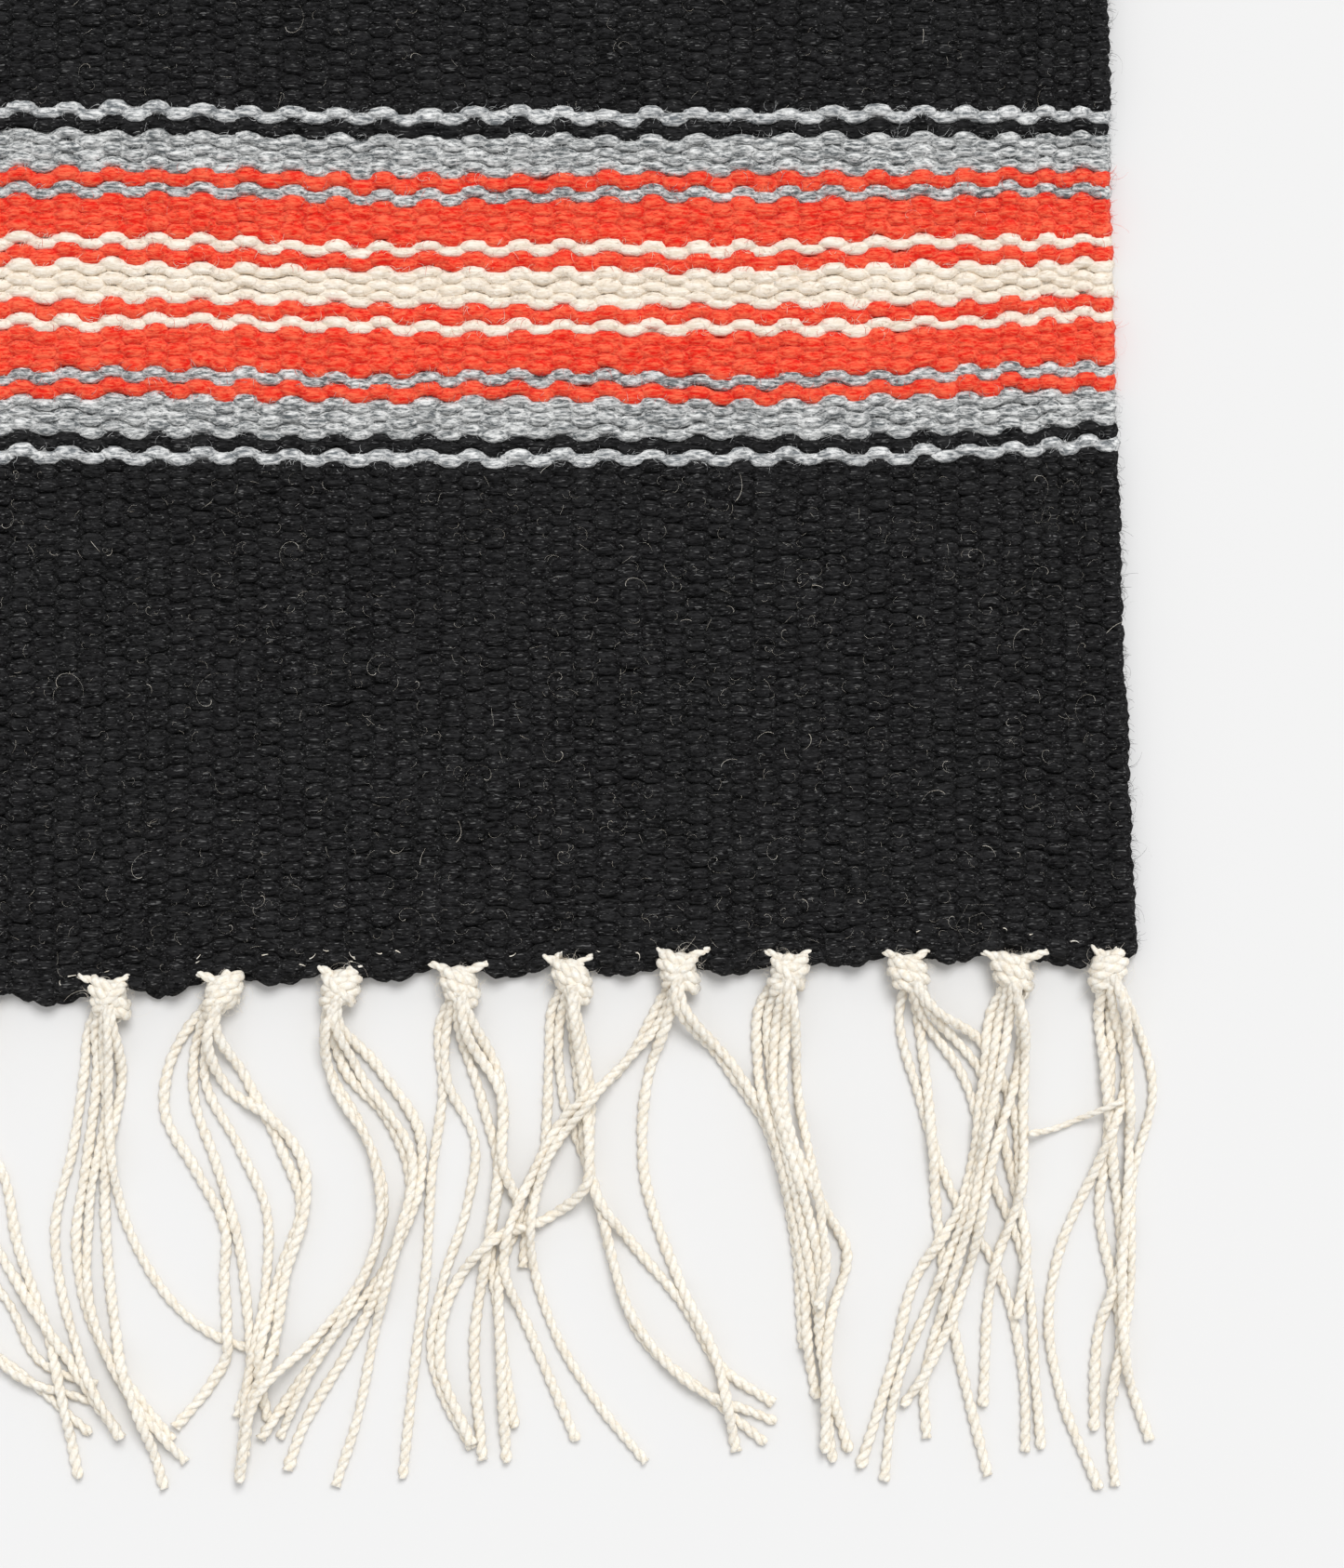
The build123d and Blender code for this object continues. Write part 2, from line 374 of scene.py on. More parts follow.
def ribs(shape, first, last):
    """Plain field as one closed slab with a rib for each warp end, without single stitches."""
    rows = np.linspace(first, last, round((last - first) / RIB_PICKS) + 1)
    rows = np.union1d(rows, [YARN_PICKS - 1, YARN_PICKS])  # the step down to the hidden part
    columns = np.arange(2 * WARP_ENDS + 1)
    u = columns / 2 - SELVEDGE - 0.5
    crown = (columns % 2).astype(float)
    x, y = np.meshgrid(end_x(u), pick_y(rows - 0.5))
    hidden = (u > YARN_FROM_END - 0.5) & (rows[:, None] < YARN_PICKS)
    x = np.where(hidden, np.minimum(x, half_width - CORE_INSET), x)
    half = np.where(hidden, CORE, GROOVE - middle + (CREST - GROOVE) * crown)
    layers = []
    for sign in (1, -1):
        z = middle + sign * (half + rng.normal(0, RIB_UNEVEN, x.shape) * crown)
        layers.append(settle(np.stack([x, y, z], -1)))
    shape.slab(*layers)


# ---- loose fibres ----
HAIR = 0.05  # radius of a loose fibre, or of a few that cling together
HAIR_REACH = (0.4, 1.3)  # shortest and longest, as shares of the length asked for
HAIR_LIFT = (0.3, 1)
HAIR_ARCH = 2.6  # radians of a sine along a fibre, so that its tip comes down but stays off the yarn
HAIR_TAPER = 0.6


def stay(points):
    """Leaves points where they are, for fibres whose roots have settled already."""
    return points


def hairs(shape, roots, heading, length, lift, thick=HAIR, curl=0.9, lay=settle):
    """Curled loose fibres, from roots (many, 3), towards headings in the plane, arching up by lift."""
    many = len(roots)
    t = np.linspace(0, 1, int(3 + 3 * curl))[None, :]
    bend = heading[:, None] + rng.normal(0, curl, (many, 1)) * t
    reach = (length * rng.uniform(*HAIR_REACH, many))[:, None]
    rise = lift * rng.uniform(*HAIR_LIFT, (many, 1)) * np.sin(HAIR_ARCH * t)
    path = roots[:, None, :] + np.stack([reach * t * np.cos(bend), reach * t * np.sin(bend), rise], -1)
    taper = thick * (1 - HAIR_TAPER * t[..., None]) * np.ones((many, 1, 1))
    side = np.stack([-np.sin(bend), np.cos(bend), 0 * bend], -1) * taper
    shape.grid(lay(sweep(path, side, np.array([0, 0, 1.0]) * taper, 3)))


def scattered(many, x_range, y_range, height):
    """Random roots for fibres at one height of the flat weave."""
    x = rng.uniform(*x_range, many)
    y = rng.uniform(*y_range, many)
    return np.stack([x, y, np.full(many, height)], -1)


NAP_FROM = YARN_FROM_END * warp_pitch  # loose fibres are modelled in the corner that is woven yarn by yarn
NAP_HAIR = {"length": 1.6, "lift": 0.35}
NAP_TURN = 0.7  # how much, in radians, its fibres stray from the direction they are spun in
NAP_SINK = 0.25  # depth of their roots below the crests of the stitches
BLACK_NAP, DYED_NAP = 0.15, 0.8  # fibres for each square millimetre
HALO = 3.0  # fibres for each millimetre of selvedge
HALO_HAIR = {"length": 1.7, "lift": 0.3}
HALO_SINK = 0.7  # depth of their roots inside the selvedge
HALO_HEIGHTS = (0.8, 3.8)
HALO_TURN, CURL_TURN = 0.8, 0.6
CURLS_AMONG = 5  # one in so many of those has a long curl beside it
CURL_HAIR = {"length": 3.4, "lift": 0.5, "thick": 0.04, "curl": 3.2}
FIBRE_SLANT = math.radians(20)  # how far the fibres rise to the right of the yarn they are spun into


def nap(shape, first, last, density):
    """Loose fibres on top of a colour run, and a halo of them along its selvedge."""
    low_y, high_y = pick_y(np.array([first, last]) - 0.5)
    many = int(density * (half_width - NAP_FROM) * (high_y - low_y))
    roots = scattered(many, (NAP_FROM, half_width - 1), (low_y, high_y), CREST - NAP_SINK)
    heading = rng.choice([0, np.pi], many) + FIBRE_SLANT + rng.normal(0, NAP_TURN, many)
    hairs(shape, roots, heading, **NAP_HAIR)
    many = int(HALO * (high_y - low_y))
    y = rng.uniform(low_y, high_y, many)
    roots = np.stack([np.full(many, half_width - HALO_SINK), y, rng.uniform(*HALO_HEIGHTS, many)], -1)
    hairs(shape, roots, rng.normal(0, HALO_TURN, many), **HALO_HAIR)
    chosen = roots[::CURLS_AMONG]
    hairs(shape, chosen, rng.normal(0, CURL_TURN, len(chosen)), **CURL_HAIR)


# ---- materials ----
FIELD_PAINTED_SHADE = 0.28  # painted shade: how much darker the ribbed field is coloured than the relief, for the gap shade that its ribs lack
DYED_PAINTED_SHADE, BLACK_PAINTED_SHADE = 0.035, 0.12  # painted shade: how much darker the relief is coloured than the corner, for the shade of the deep gaps between yarns that it lacks
WOOL = {
    "Roughness": 0.95,
    "Specular IOR Level": 0.05,
    "Sheen Roughness": 0.6,
    "Subsurface Radius": (1.0, 0.92, 0.82),
    "Subsurface Scale": 0.0012,
}
PATCHES, PATCH_SCALE = 0.14, 170.0  # share of wide patches in the colour, beside the streaks, and their scale
FLAT_GRAIN = (420, 1900, 1900)  # how close the streaks lie along a yarn and across it
TWIST_GRAIN = (1100, 1100, 1100)  # the same in cords, whose fibres run every way
# pale flecks in black wool, partly loose pale fibres and partly painted glints of its fuzz: their grain and
# threshold
STRAY_AND_GLINT_GRAIN, STRAY_AND_GLINT_RAMP = (420, 3200, 3200), (0.62, 0.74)
NOISE_ROUGHNESS = 0.65
BUMP_DISTANCE = 0.0006


def painted_gap_shade(nodes, links, position, colour, shade):
    """The colour, made darker outside the yarn-by-yarn corner as painted shade, because no deep gaps between
    yarns darken it there.
    """

    def compute(kind, *values):
        """Output of a Math node of that kind, whose inputs are numbers or other nodes' outputs."""
        node = nodes.new("ShaderNodeMath")
        node.operation = kind
        for socket, value in zip(node.inputs, values):
            if isinstance(value, (int, float)):
                socket.default_value = value
            else:
                links.new(value, socket)
        return node.outputs[0]

    axes = nodes.new("ShaderNodeSeparateXYZ")
    links.new(position, axes.inputs[0])
    right = compute("GREATER_THAN", axes.outputs["X"], float(end_x(YARN_FROM_END - 0.5)) * MM)
    near = compute("LESS_THAN", axes.outputs["Y"], float(pick_y(YARN_PICKS - 0.5)) * MM)
    outside = compute("SUBTRACT", 1.0, compute("MULTIPLY", right, near))
    field = compute("LESS_THAN", compute("ABSOLUTE", axes.outputs["Y"]), float(far_field_y) * MM)
    # painted shade: the share by which the colour is darkened outside the corner, more on the ribbed field
    drop = compute("MULTIPLY", outside, compute("MULTIPLY_ADD", field, FIELD_PAINTED_SHADE, shade))
    scale = nodes.new("ShaderNodeVectorMath")
    scale.operation = "SCALE"
    links.new(colour, scale.inputs[0])
    links.new(compute("SUBTRACT", 1.0, drop), scale.inputs["Scale"])
    return scale.outputs[0]


def wool(
    name, dark, light, contrast, bump, sheen=0.1, stray=None, grain=FLAT_GRAIN, glow=0.0, shade=DYED_PAINTED_SHADE
):
    """Spun wool: streaks along the slanted fibres, patches where the fleece was lighter, and a soft nap.
    With stray, flecks of that colour lie in it: partly loose pale fibres, partly painted glints of the black
    fuzz. Glow is light that passes through the yarn. A shade above nought makes the colour darker outside the
    yarn-by-yarn corner, as painted shade."""
    material = bpy.data.materials.new(name)
    material.use_nodes = True
    nodes, links = material.node_tree.nodes, material.node_tree.links
    shader = nodes["Principled BSDF"]
    for socket, value in WOOL.items():
        shader.inputs[socket].default_value = value
    shader.inputs["Sheen Weight"].default_value = sheen
    shader.inputs["Subsurface Weight"].default_value = glow
    place = nodes.new("ShaderNodeTexCoord")

    def noise(scale, detail, stretch=None):
        node = nodes.new("ShaderNodeTexNoise")
        node.inputs["Scale"].default_value = scale
        node.inputs["Detail"].default_value = detail
        node.inputs["Roughness"].default_value = NOISE_ROUGHNESS
        source = place.outputs["Object"]
        if stretch:
            lay = nodes.new("ShaderNodeMapping")
            lay.inputs["Rotation"].default_value = (0, 0, -FIBRE_SLANT)
            lay.inputs["Scale"].default_value = stretch
            links.new(source, lay.inputs["Vector"])
            source = lay.outputs["Vector"]
        links.new(source, node.inputs["Vector"])
        return node.outputs["Fac"]

    def ramp(value, low, high, low_colour, high_colour):
        node = nodes.new("ShaderNodeValToRGB")
        for stop, position, colour in zip(node.color_ramp.elements, (low, high), (low_colour, high_colour)):
            stop.position = position
            stop.color = (*colour, 1)
        links.new(value, node.inputs["Fac"])
        return node.outputs["Color"]

    streak = noise(1.0, 4.0, grain)
    blend = nodes.new("ShaderNodeMix")
    blend.data_type = "FLOAT"
    blend.inputs["Factor"].default_value = PATCHES
    links.new(streak, blend.inputs["A"])
    links.new(noise(PATCH_SCALE, 2.0), blend.inputs["B"])
    colour = ramp(blend.outputs["Result"], 0.5 - contrast, 0.5 + contrast, dark, light)
    # flecks: partly loose pale fibres, partly painted glints of the black fuzz
    if stray:
        loose = nodes.new("ShaderNodeMix")
        loose.data_type = "RGBA"
        flecks = ramp(noise(1.0, 1.0, STRAY_AND_GLINT_GRAIN), *STRAY_AND_GLINT_RAMP, (0, 0, 0), (1, 1, 1))
        links.new(flecks, loose.inputs["Factor"])
        links.new(colour, loose.inputs["A"])
        loose.inputs["B"].default_value = (*stray, 1)
        colour = loose.outputs["Result"]
    # painted shade: darker colour outside the yarn-by-yarn corner, for the gap shade that only the corner has
    if shade:
        colour = painted_gap_shade(nodes, links, place.outputs["Object"], colour, shade)
    links.new(colour, shader.inputs["Base Color"])
    raised = nodes.new("ShaderNodeBump")
    raised.inputs["Strength"].default_value = bump
    raised.inputs["Distance"].default_value = BUMP_DISTANCE
    links.new(streak, raised.inputs["Height"])
    links.new(raised.outputs["Normal"], shader.inputs["Normal"])
    return material


FINISH = {
    "black_wool": wool(
        "black wool", (0.002, 0.002, 0.0022), (0.0265, 0.0265, 0.0275), 0.12, 0.9,
        sheen=0.01, stray=(0.13, 0.13, 0.13), shade=BLACK_PAINTED_SHADE,
    ),
    "light_grey_wool": wool("light grey wool", (0.17, 0.185, 0.197), (0.88, 0.885, 0.88), 0.10, 0.8),
    "grey_wool": wool("grey wool", (0.112, 0.124, 0.130), (0.825, 0.83, 0.822), 0.10, 0.8),
    "red_wool": wool("red wool", (0.81, 0.012, 0.004), (1.0, 0.162, 0.076), 0.10, 0.9),
    "ivory_wool": wool("ivory wool", (0.78, 0.675, 0.54), (0.97, 0.90, 0.805), 0.13, 0.6),
    "warp_cord": wool(
        "warp cord", (0.84, 0.745, 0.605), (0.985, 0.945, 0.855), 0.13, 0.5,
        glow=0.25, grain=TWIST_GRAIN, shade=0,
    ),
}  # fmt: skip


# ---- the weave, colour run by colour run ----
def slot_of(node):
    """The material slot name for a colour run."""
    for word in ("light_grey", "grey", "red", "ivory"):
        if word in node:
            return word + "_wool"
    return "black_wool"


all_ends = range(-SELVEDGE, SELVEDGE + 1)
plain_ends = range(-SELVEDGE, YARN_FROM_END)
for node, (first, last) in runs.items():
    shape = Shape()
    if node == "main_field_black":
        yarn(shape, first, YARN_PICKS, **FIELD_YARN)
        nap(shape, first, YARN_PICKS, BLACK_NAP)
        ribs(shape, first, last)
    elif first < YARN_PICKS:
        if "band_black" in node:
            yarn(shape, first, last, **FIELD_YARN)
        else:
            colour_word = node.split("_")[3]
            yarn(shape, first, last, BULK.get(colour_word, 1.0))
        relief(shape, first, last, plain_ends)
        nap(shape, first, last, BLACK_NAP if "black" in node else DYED_NAP)
    else:
        relief(shape, first, last, all_ends)
    slot_name = slot_of(node)
    shape.piece("woven_" + node, FINISH[slot_name], slot_name)
    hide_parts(node)

# few clear fibres and many faint ones: (number, length, thickness, curl)
LINT = [(80, 4.0, 0.048, 3.8), (1000, 2.0, 0.019, 2.0)]
LINT_LIFT = 0.5
LINT_X = (NAP_FROM + 4, half_width - 3)
LINT_BAND = (3, 92)  # distances from the near end between which lint lies
LINT_FURTHER = (125, 150)  # one fibre in four lies this much further in
LINT_SINK = 0.1  # depth of its roots below the crests of the stitches
SPECKS = 26  # glimpses of the pale warp between the last picks
SPECK_X = (NAP_FROM, half_width - 3)
SPECK_BAND = (1.8, 4.6)
SPECK_SINK = 0.12
SPECK_TURN = 0.3
SPECK_HAIR = {"length": 1.5, "lift": 0.25, "thick": 0.16, "curl": 0.7}

lint = Shape()
for many, length, thick, curl in LINT:
    spots = scattered(many, LINT_X, LINT_BAND, CREST - LINT_SINK)
    spots[:, 1] -= end_y
    quarter = many // 4
    spots[:quarter, 1] += rng.uniform(*LINT_FURTHER, quarter)
    hairs(lint, spots, rng.uniform(0, 2 * np.pi, many), length, LINT_LIFT, thick, curl)
spots = scattered(SPECKS, SPECK_X, SPECK_BAND, CREST - SPECK_SINK)
spots[:, 1] -= end_y
hairs(lint, spots, rng.choice([0, np.pi], SPECKS) + rng.normal(0, SPECK_TURN, SPECKS), **SPECK_HAIR)
loose_lint = lint.piece("loose_lint", FINISH["warp_cord"], "warp_cord")

# ---- fringe: where each strand of a tassel lies, as (x from its knot, outward from the woven end) ----
TASSELS = [
    [
        [(-8, 10), (-9, 22), (-5, 31), (0, 38), (3, 51.5), (9, 69.5), (14.5, 95.5)],
        [(-7, 10), (-10, 30), (-6, 44), (0, 54), (9.5, 68.5), (22.5, 88)],
        [(-6.5, 10), (-12, 30), (-14, 55), (-12, 85)],
        [(-5.5, 10), (-9, 35), (-16, 60), (-18, 90)],
        [(-5, 10), (-14, 25), (-20, 50), (-22, 80)],
    ],
    [
        [(-4, 9.5), (-5.5, 19.5), (-7.5, 33), (-11, 49.5), (-10, 59), (-5.5, 74.5), (1.5, 88)],
        [(-3, 10), (-3, 18.5), (-5, 36), (-7, 52), (-3, 69), (5, 81), (11, 88.5)],
        [(-1.5, 10), (-1.5, 26.5), (-4.5, 45), (-4, 64), (2.5, 79), (13.5, 92.5)],
        [(0.5, 11), (1.5, 18.5), (-1.5, 38), (-1, 55.5), (2, 75.5), (7.5, 90.5), (9.5, 97.5)],
        [(-0.5, 11.5), (-0.5, 30.5), (2, 46.5), (7, 57), (13, 64.5), (19.5, 69), (25, 71), (31, 71.5)],
    ],
    [
        [(-4.5, 8), (-11, 19.5), (-11.5, 26.5), (-5.5, 38), (0, 49.5), (-0.3, 57.5), (0.2, 66.5), (0.3, 72),
         (-2.7, 77.7), (-9.5, 86)],
        [(-3.5, 8.5), (-6, 23.5), (-2, 36), (2, 49.5), (4, 64), (4.5, 75.5), (2, 84)],
        [(-3, 11.5), (-4, 20), (2.5, 33.5), (7.5, 45), (7.5, 59), (4, 79), (2.5, 96)],
        [(-1.5, 9.5), (4, 21), (10, 33), (14, 44), (10, 57.5), (6.5, 77.5), (8, 85)],
        [(-3, 12.5), (0.5, 22.5), (8, 27.5), (15, 38.5), (15, 44), (11.5, 56.5), (8.5, 72.5), (5, 81),
         (3.5, 91)],
    ],
    [
        [(-2, 8), (-2.5, 16), (4, 29), (8.5, 42), (5.5, 56), (-4, 69), (-14.5, 79), (-18.5, 96)],
        [(-1, 8.5), (1, 18.5), (9.5, 28.5), (13.5, 40), (9.5, 55), (0, 67.5), (-5.5, 75), (-14.5, 88)],
        [(0, 8.5), (7.5, 18.5), (15.5, 32), (15.5, 38.5), (9.5, 55.5), (3, 69.5), (-7.5, 88), (-9.5, 94)],
        [(-0.5, 8.5), (3, 17.5), (14, 36), (11, 52), (7, 67.5), (3.5, 84.5), (-0.5, 97)],
        [(-2, 11.5), (-1, 21), (6, 33), (8, 46.5), (0, 67), (-6, 77), (-11, 88)],
    ],
    [
        [(-1.5, 8.5), (-1.5, 23.5), (-3.5, 38.5), (-4.5, 55.5), (-6.5, 72.5), (-9, 95.5)],
        [(0, 8), (-0.5, 21), (4.5, 32), (3, 45), (-1.5, 59), (-3.5, 73.5), (-1, 81), (4, 90)],
        [(1.5, 8.5), (6, 25), (9, 38), (7.5, 52), (9, 65.5), (12, 86)],
        [(3.5, 8), (9, 20), (9, 38.5), (7, 52), (4.5, 69), (6, 92)],
        [(3, 11.5), (9.5, 23.5), (10, 37), (13, 46.5), (10, 54), (9.5, 72.5), (10.5, 92.5)],
    ],
    [
        [(-1.5, 6), (-2.5, 15), (-3, 28.5), (-4, 37), (-6.5, 47), (-7.5, 56)],
        [(0, 7), (0, 23.5), (6, 41), (9.5, 55.5), (15, 69.5), (26, 79), (38, 89)],
        [(1.5, 7), (3, 22.5), (4.5, 36), (8, 48.5), (12.5, 64), (23, 77), (40, 85)],
        [(2.5, 7), (5, 21.5), (6.5, 42.5), (13, 51.5), (23, 63.5), (29.5, 74.5), (39.5, 81.5)],
        [(2, 7), (4, 22), (5, 33), (4.5, 40), (-2.5, 46.5), (-12, 50), (-21, 61), (-23, 73), (-17, 89)],
    ],
    [
        [(-2.5, 5.5), (-10, 18.5), (-20, 27), (-26.5, 38), (-32, 55.5), (-27, 68.5), (-18.5, 88.5)],
        [(-2, 8), (-14.5, 23), (-24, 36), (-27, 51.5), (-23, 67), (-14.5, 81.5), (-5.5, 92.5)],
        [(-1, 8), (-5, 20), (-6, 36.5), (1, 59), (7.5, 72.5), (11.5, 90.5)],
        [(0, 4.5), (9, 17.5), (17, 29.5), (22, 48), (24, 71)],
        [(1, 4.5), (11.5, 19), (19, 32), (21.5, 39.5)],
    ],
    [
        [(-4, 4.5), (-5.5, 18.5), (-1, 36.5), (3, 57.5), (4, 72.5), (5.5, 80.5)],
        [(-2.5, 4.5), (-3, 21), (1.5, 42), (5.5, 64), (8.5, 92.5)],
        [(-1, 4.5), (-2.5, 21.5), (3, 42.5), (6, 55.5), (6, 69.5), (11.5, 90.5)],
        [(0, 5.5), (-0.5, 27), (7, 45), (11, 52.5), (8, 65.5), (7, 90.5)],
        [(1, 6), (2, 23.5), (6, 45), (7, 56.5), (5.5, 63)],
    ],
    [
        [(0, 7.5), (3.5, 23.5), (10, 42.5), (18.5, 57), (23.5, 81.5), (23.5, 90.5)],
        [(3, 7.5), (6, 32.5), (7, 46.5), (11, 72), (16.5, 95)],
        [(3.5, 7.5), (11.5, 19.5), (18, 41), (23, 53.5), (25.5, 78), (26.5, 90)],
        [(5, 7), (15, 19), (21.5, 41), (23.5, 50), (22, 65.5)],
        [(6, 7), (14.5, 13), (21.5, 28), (22.5, 41)],
    ],
    [
        [(-3.5, 7), (-5.5, 21), (-9.5, 44), (-18.5, 59), (-22.5, 74.5), (-28.5, 93.5)],
        [(-2, 7), (-4.5, 22.5), (-7, 39), (-15.5, 62.5), (-21.5, 77.5), (-24, 96)],
        [(-0.5, 7), (-4.5, 28), (-7.5, 44.5), (-13, 63.5), (-16.5, 78), (-16, 88)],
        [(1, 7), (1.5, 14), (-4, 35.5), (-9, 59), (-16, 75), (-20.5, 82)],
        [(2, 11), (2, 24.5), (1.5, 41), (-3.5, 56.5), (-5.5, 82)],
    ],
]  # fmt: skip
EDGE_TASSEL = [
    [(1.5, 9), (0.5, 36.5), (-0.5, 44), (2, 59), (3.5, 68), (2, 80)],
    [(-0.5, 5.5), (0.5, 19), (2, 36.5), (3.5, 55), (-0.5, 67.5), (-1.5, 86.5)],
    [(1.5, 5.5), (4.5, 19.5), (-0.5, 35.5), (-8, 53), (-10, 65.5), (-7.5, 80.5), (-0.5, 97.5)],
    [(3.5, 4.5), (9.5, 22.5), (6, 38), (5, 63), (1.5, 81.5), (2.5, 97)],
    [(3, 4.5), (4.9, 19.5), (5, 35.5), (3.5, 61), (4.5, 74.5), (9, 88.5)],
]
STRAY_PLY = [(3.5, 24.5), (-3, 27.5), (-9, 30), (-14, 30.8)]  # a single ply that strays from the edge tassel
FIRST_DRAWN_KNOT = 25  # the middle knot, counted from the left, that the first tassel of the list belongs to
# where the middle of each of those knots and of the edge knot lies: (x from its place, outward from the end)
HEARTS = [(-4.5, 5.4), (-0.5, 5.1), (-0.3, 4.3), (0.6, 3.4), (1.8, 2.7), (1.7, 1.4), (0.6, 0.1), (0.1, 0.4),
          (1.4, 0.4), (-0.2, 0.5), (0.8, -0.3)]  # fmt: skip

# ---- cords ----
STRAND = 2.1  # diameter of a two-ply warp end
STRAY_SIZE, STRAY_STEP = 0.6, 0.7  # size of the stray ply, in strands, and the step along it
PLY_TURN = 4.6  # length in which the two plies go once round each other
PRESSED = 0.86  # height of a cord over its width
# as shares of a cord's size: how far each ply lies from the middle and its radius, and what plumpness changes
PLY_APART, LESS_APART = 0.18, 0.07
PLY_RADIUS, MORE_RADIUS = 0.33, 0.06
LUMPS = [(0.07, 2.3, 1), (0.05, 0.9, 2)]  # waves of thickness: (share, length of a radian, times the twist)
FRAY = 3.0  # length of a cut end over which the plies come apart
FRAY_APART = 0.1
TIP_SIZE, TIP_GAIN = 0.85, 0.15  # thickness of a ply at its tip, and what it gains within the frayed end
COME_OUT = 4  # length over which a cord that comes out of the weave reaches its full thickness


def two_ply(shape, centres, size, around, twist, frayed=True, plump=0.65, thin_start=False):
    """A two-ply cord along a line of centres; the plumper, the less its two plies show."""
    along = np.gradient(centres, axis=0)
    along /= np.linalg.norm(along, axis=1, keepdims=True)
    side = np.cross(along, [0, 0, 1.0])
    side /= np.maximum(np.linalg.norm(side, axis=1, keepdims=True), 1e-6)
    up = np.cross(side, along) * PRESSED
    run = np.r_[0, np.cumsum(np.linalg.norm(np.diff(centres, axis=0), axis=1))]
    lumps = np.ones_like(run)
    for share, length, times in LUMPS:
        lumps += share * np.sin(run / length + times * twist)
    tip = np.clip((run[-1] - run) / FRAY, 0, 1) if frayed else np.ones_like(run)
    spread = size * (PLY_APART - LESS_APART * plump + FRAY_APART * (1 - smooth(tip)))
    angle = twist - 2 * np.pi * run / PLY_TURN
    radius = size * (PLY_RADIUS + MORE_RADIUS * plump) * lumps * (TIP_SIZE + TIP_GAIN * smooth(tip * 2))
    if thin_start:
        radius *= 0.5 + 0.5 * smooth(run / COME_OUT)
    plies = []
    for ply in (0, np.pi):
        c, s = np.cos(angle + ply)[:, None], np.sin(angle + ply)[:, None]
        heart = centres + spread[:, None] * (c * side + s * up)
        plies.append(sweep(heart, side * radius[:, None], up * radius[:, None], around))
    plies = np.stack(plies)
    plies[..., 2] = np.maximum(plies[..., 2], 0)
    shape.grid(plies)


def edge_y(x, end):
    """Y of the woven edge itself, at one end (-1 near, 1 far)."""
    x = np.atleast_1d(np.asarray(x, float))
    return settle(np.stack([x, np.full_like(x, end * end_y), 0 * x], -1))[:, 1]


SLOPE = 0.55  # how steeply a strand climbs over another
DROP = 0.45  # how steeply it comes down from its knot
SOFTEN = 1.6  # length over which its bends in height are evened out
BENEATH = 24  # only so many strands laid before it can lie beneath it
BESIDE = 60  # and only so near to its middle, along X
SINK = 0.8  # share of its round height that a strand underneath keeps
PILE = 3.1  # the highest place that a strand can have, in strands
laid = []


def lay_down(line, start_height):
    """Heights for a strand that starts in its knot, drops to the floor and climbs over what lies there."""
    low = STRAND / 2
    run = np.r_[0, np.cumsum(np.linalg.norm(np.diff(line, axis=0), axis=1))]
    need = np.maximum(low, start_height - run * DROP)
    if laid:
        others = np.concatenate(laid[-BENEATH:])
        near = others[np.abs(others[:, 0] - line[:, 0].mean()) < BESIDE]
        if len(near):
            gap = np.linalg.norm(line[:, None] - near[None, :, :2], axis=2)
            round_height = SINK * np.sqrt(np.clip(STRAND**2 - gap**2, 0, None))
            over = np.where(gap < STRAND, near[:, 2] + round_height, 0)
            need = np.maximum(need, np.minimum(over.max(1), PILE * STRAND))
    ahead = np.abs(run[:, None] - run[None, :])
    need = (need[None, :] - SLOPE * ahead).max(1)
    weight = np.exp(-((ahead / SOFTEN) ** 2))
    need = np.maximum(low, (weight @ need) / weight.sum(1))
    points = np.c_[line, need]
    laid.append(points)
    return points


# ---- knots ----
KNOT_RISE = 4.0  # height of a knot's middle above the floor
TILT = (24, 42)  # slant of a knot's coils, in degrees
MOSTLY = 0.6  # share of the knots whose coils slant one way, and of those that have a tuck
KNOT_SIZES = (0.94, 1.06)
SIDE_END_OUT, MIDDLE_END_OUT = 3.9, 2.7  # how far inside a knot's middle the cords come out of the weave
# sizes of the cords in a knot, in strands, and how little their plies show
ENTRY_SIZE, COIL_SIZE, TIED_PLUMP = 0.9, 1.15, 0.8
COIL_TURNS = 2.9
COIL_ROUND = 3.6  # about a coil's radius, which gives the number of its points
COIL_SIDE, COIL_UP = 3.05, 2.1  # its half-width and half-height
COIL_START, COIL_LENGTH = -2.3, 5.4  # along the rug, from the knot's middle
COIL_SLANT = 0.9
BELLY = (0.24, 0.52)  # where the coil begins on the half wave of the knot's belly, and how far it goes
TUCK = [(2.7, -2.4, 0.2), (2.0, -1.3, 1.8), (0.4, 0.3, 2.5), (-1.6, 2.0, 1.6), (-2.3, 3.0, 0.2)]
KNOT_HAIRS = [(60, 1.8, 0.035, 1.2), (7, 5.0, 0.04, 3.4)]  # number, length, thickness, curl
KNOT_HAIR_LIFT, KNOT_HAIR_TURN = 0.5, 0.6
FUZZ_SIDE, FUZZ_ALONG, FUZZ_UP = 3.7, 3.4, 2  # where the hairs of a knot are rooted, from its middle
CORE_SIDE, CORE_ALONG, CORE_UP = 3.4, 3.5, 2.5  # half-sizes of the ball that fills a knot between its coils
CORE_RINGS, CORE_SIDES = 7, 8
CORE_TIP = 0.02  # size of its first and last ring, as a share of the widest
FINE_KNOT, PLAIN_KNOT = (0.55, 8), (1.1, 6)  # step along a cord, and points round it


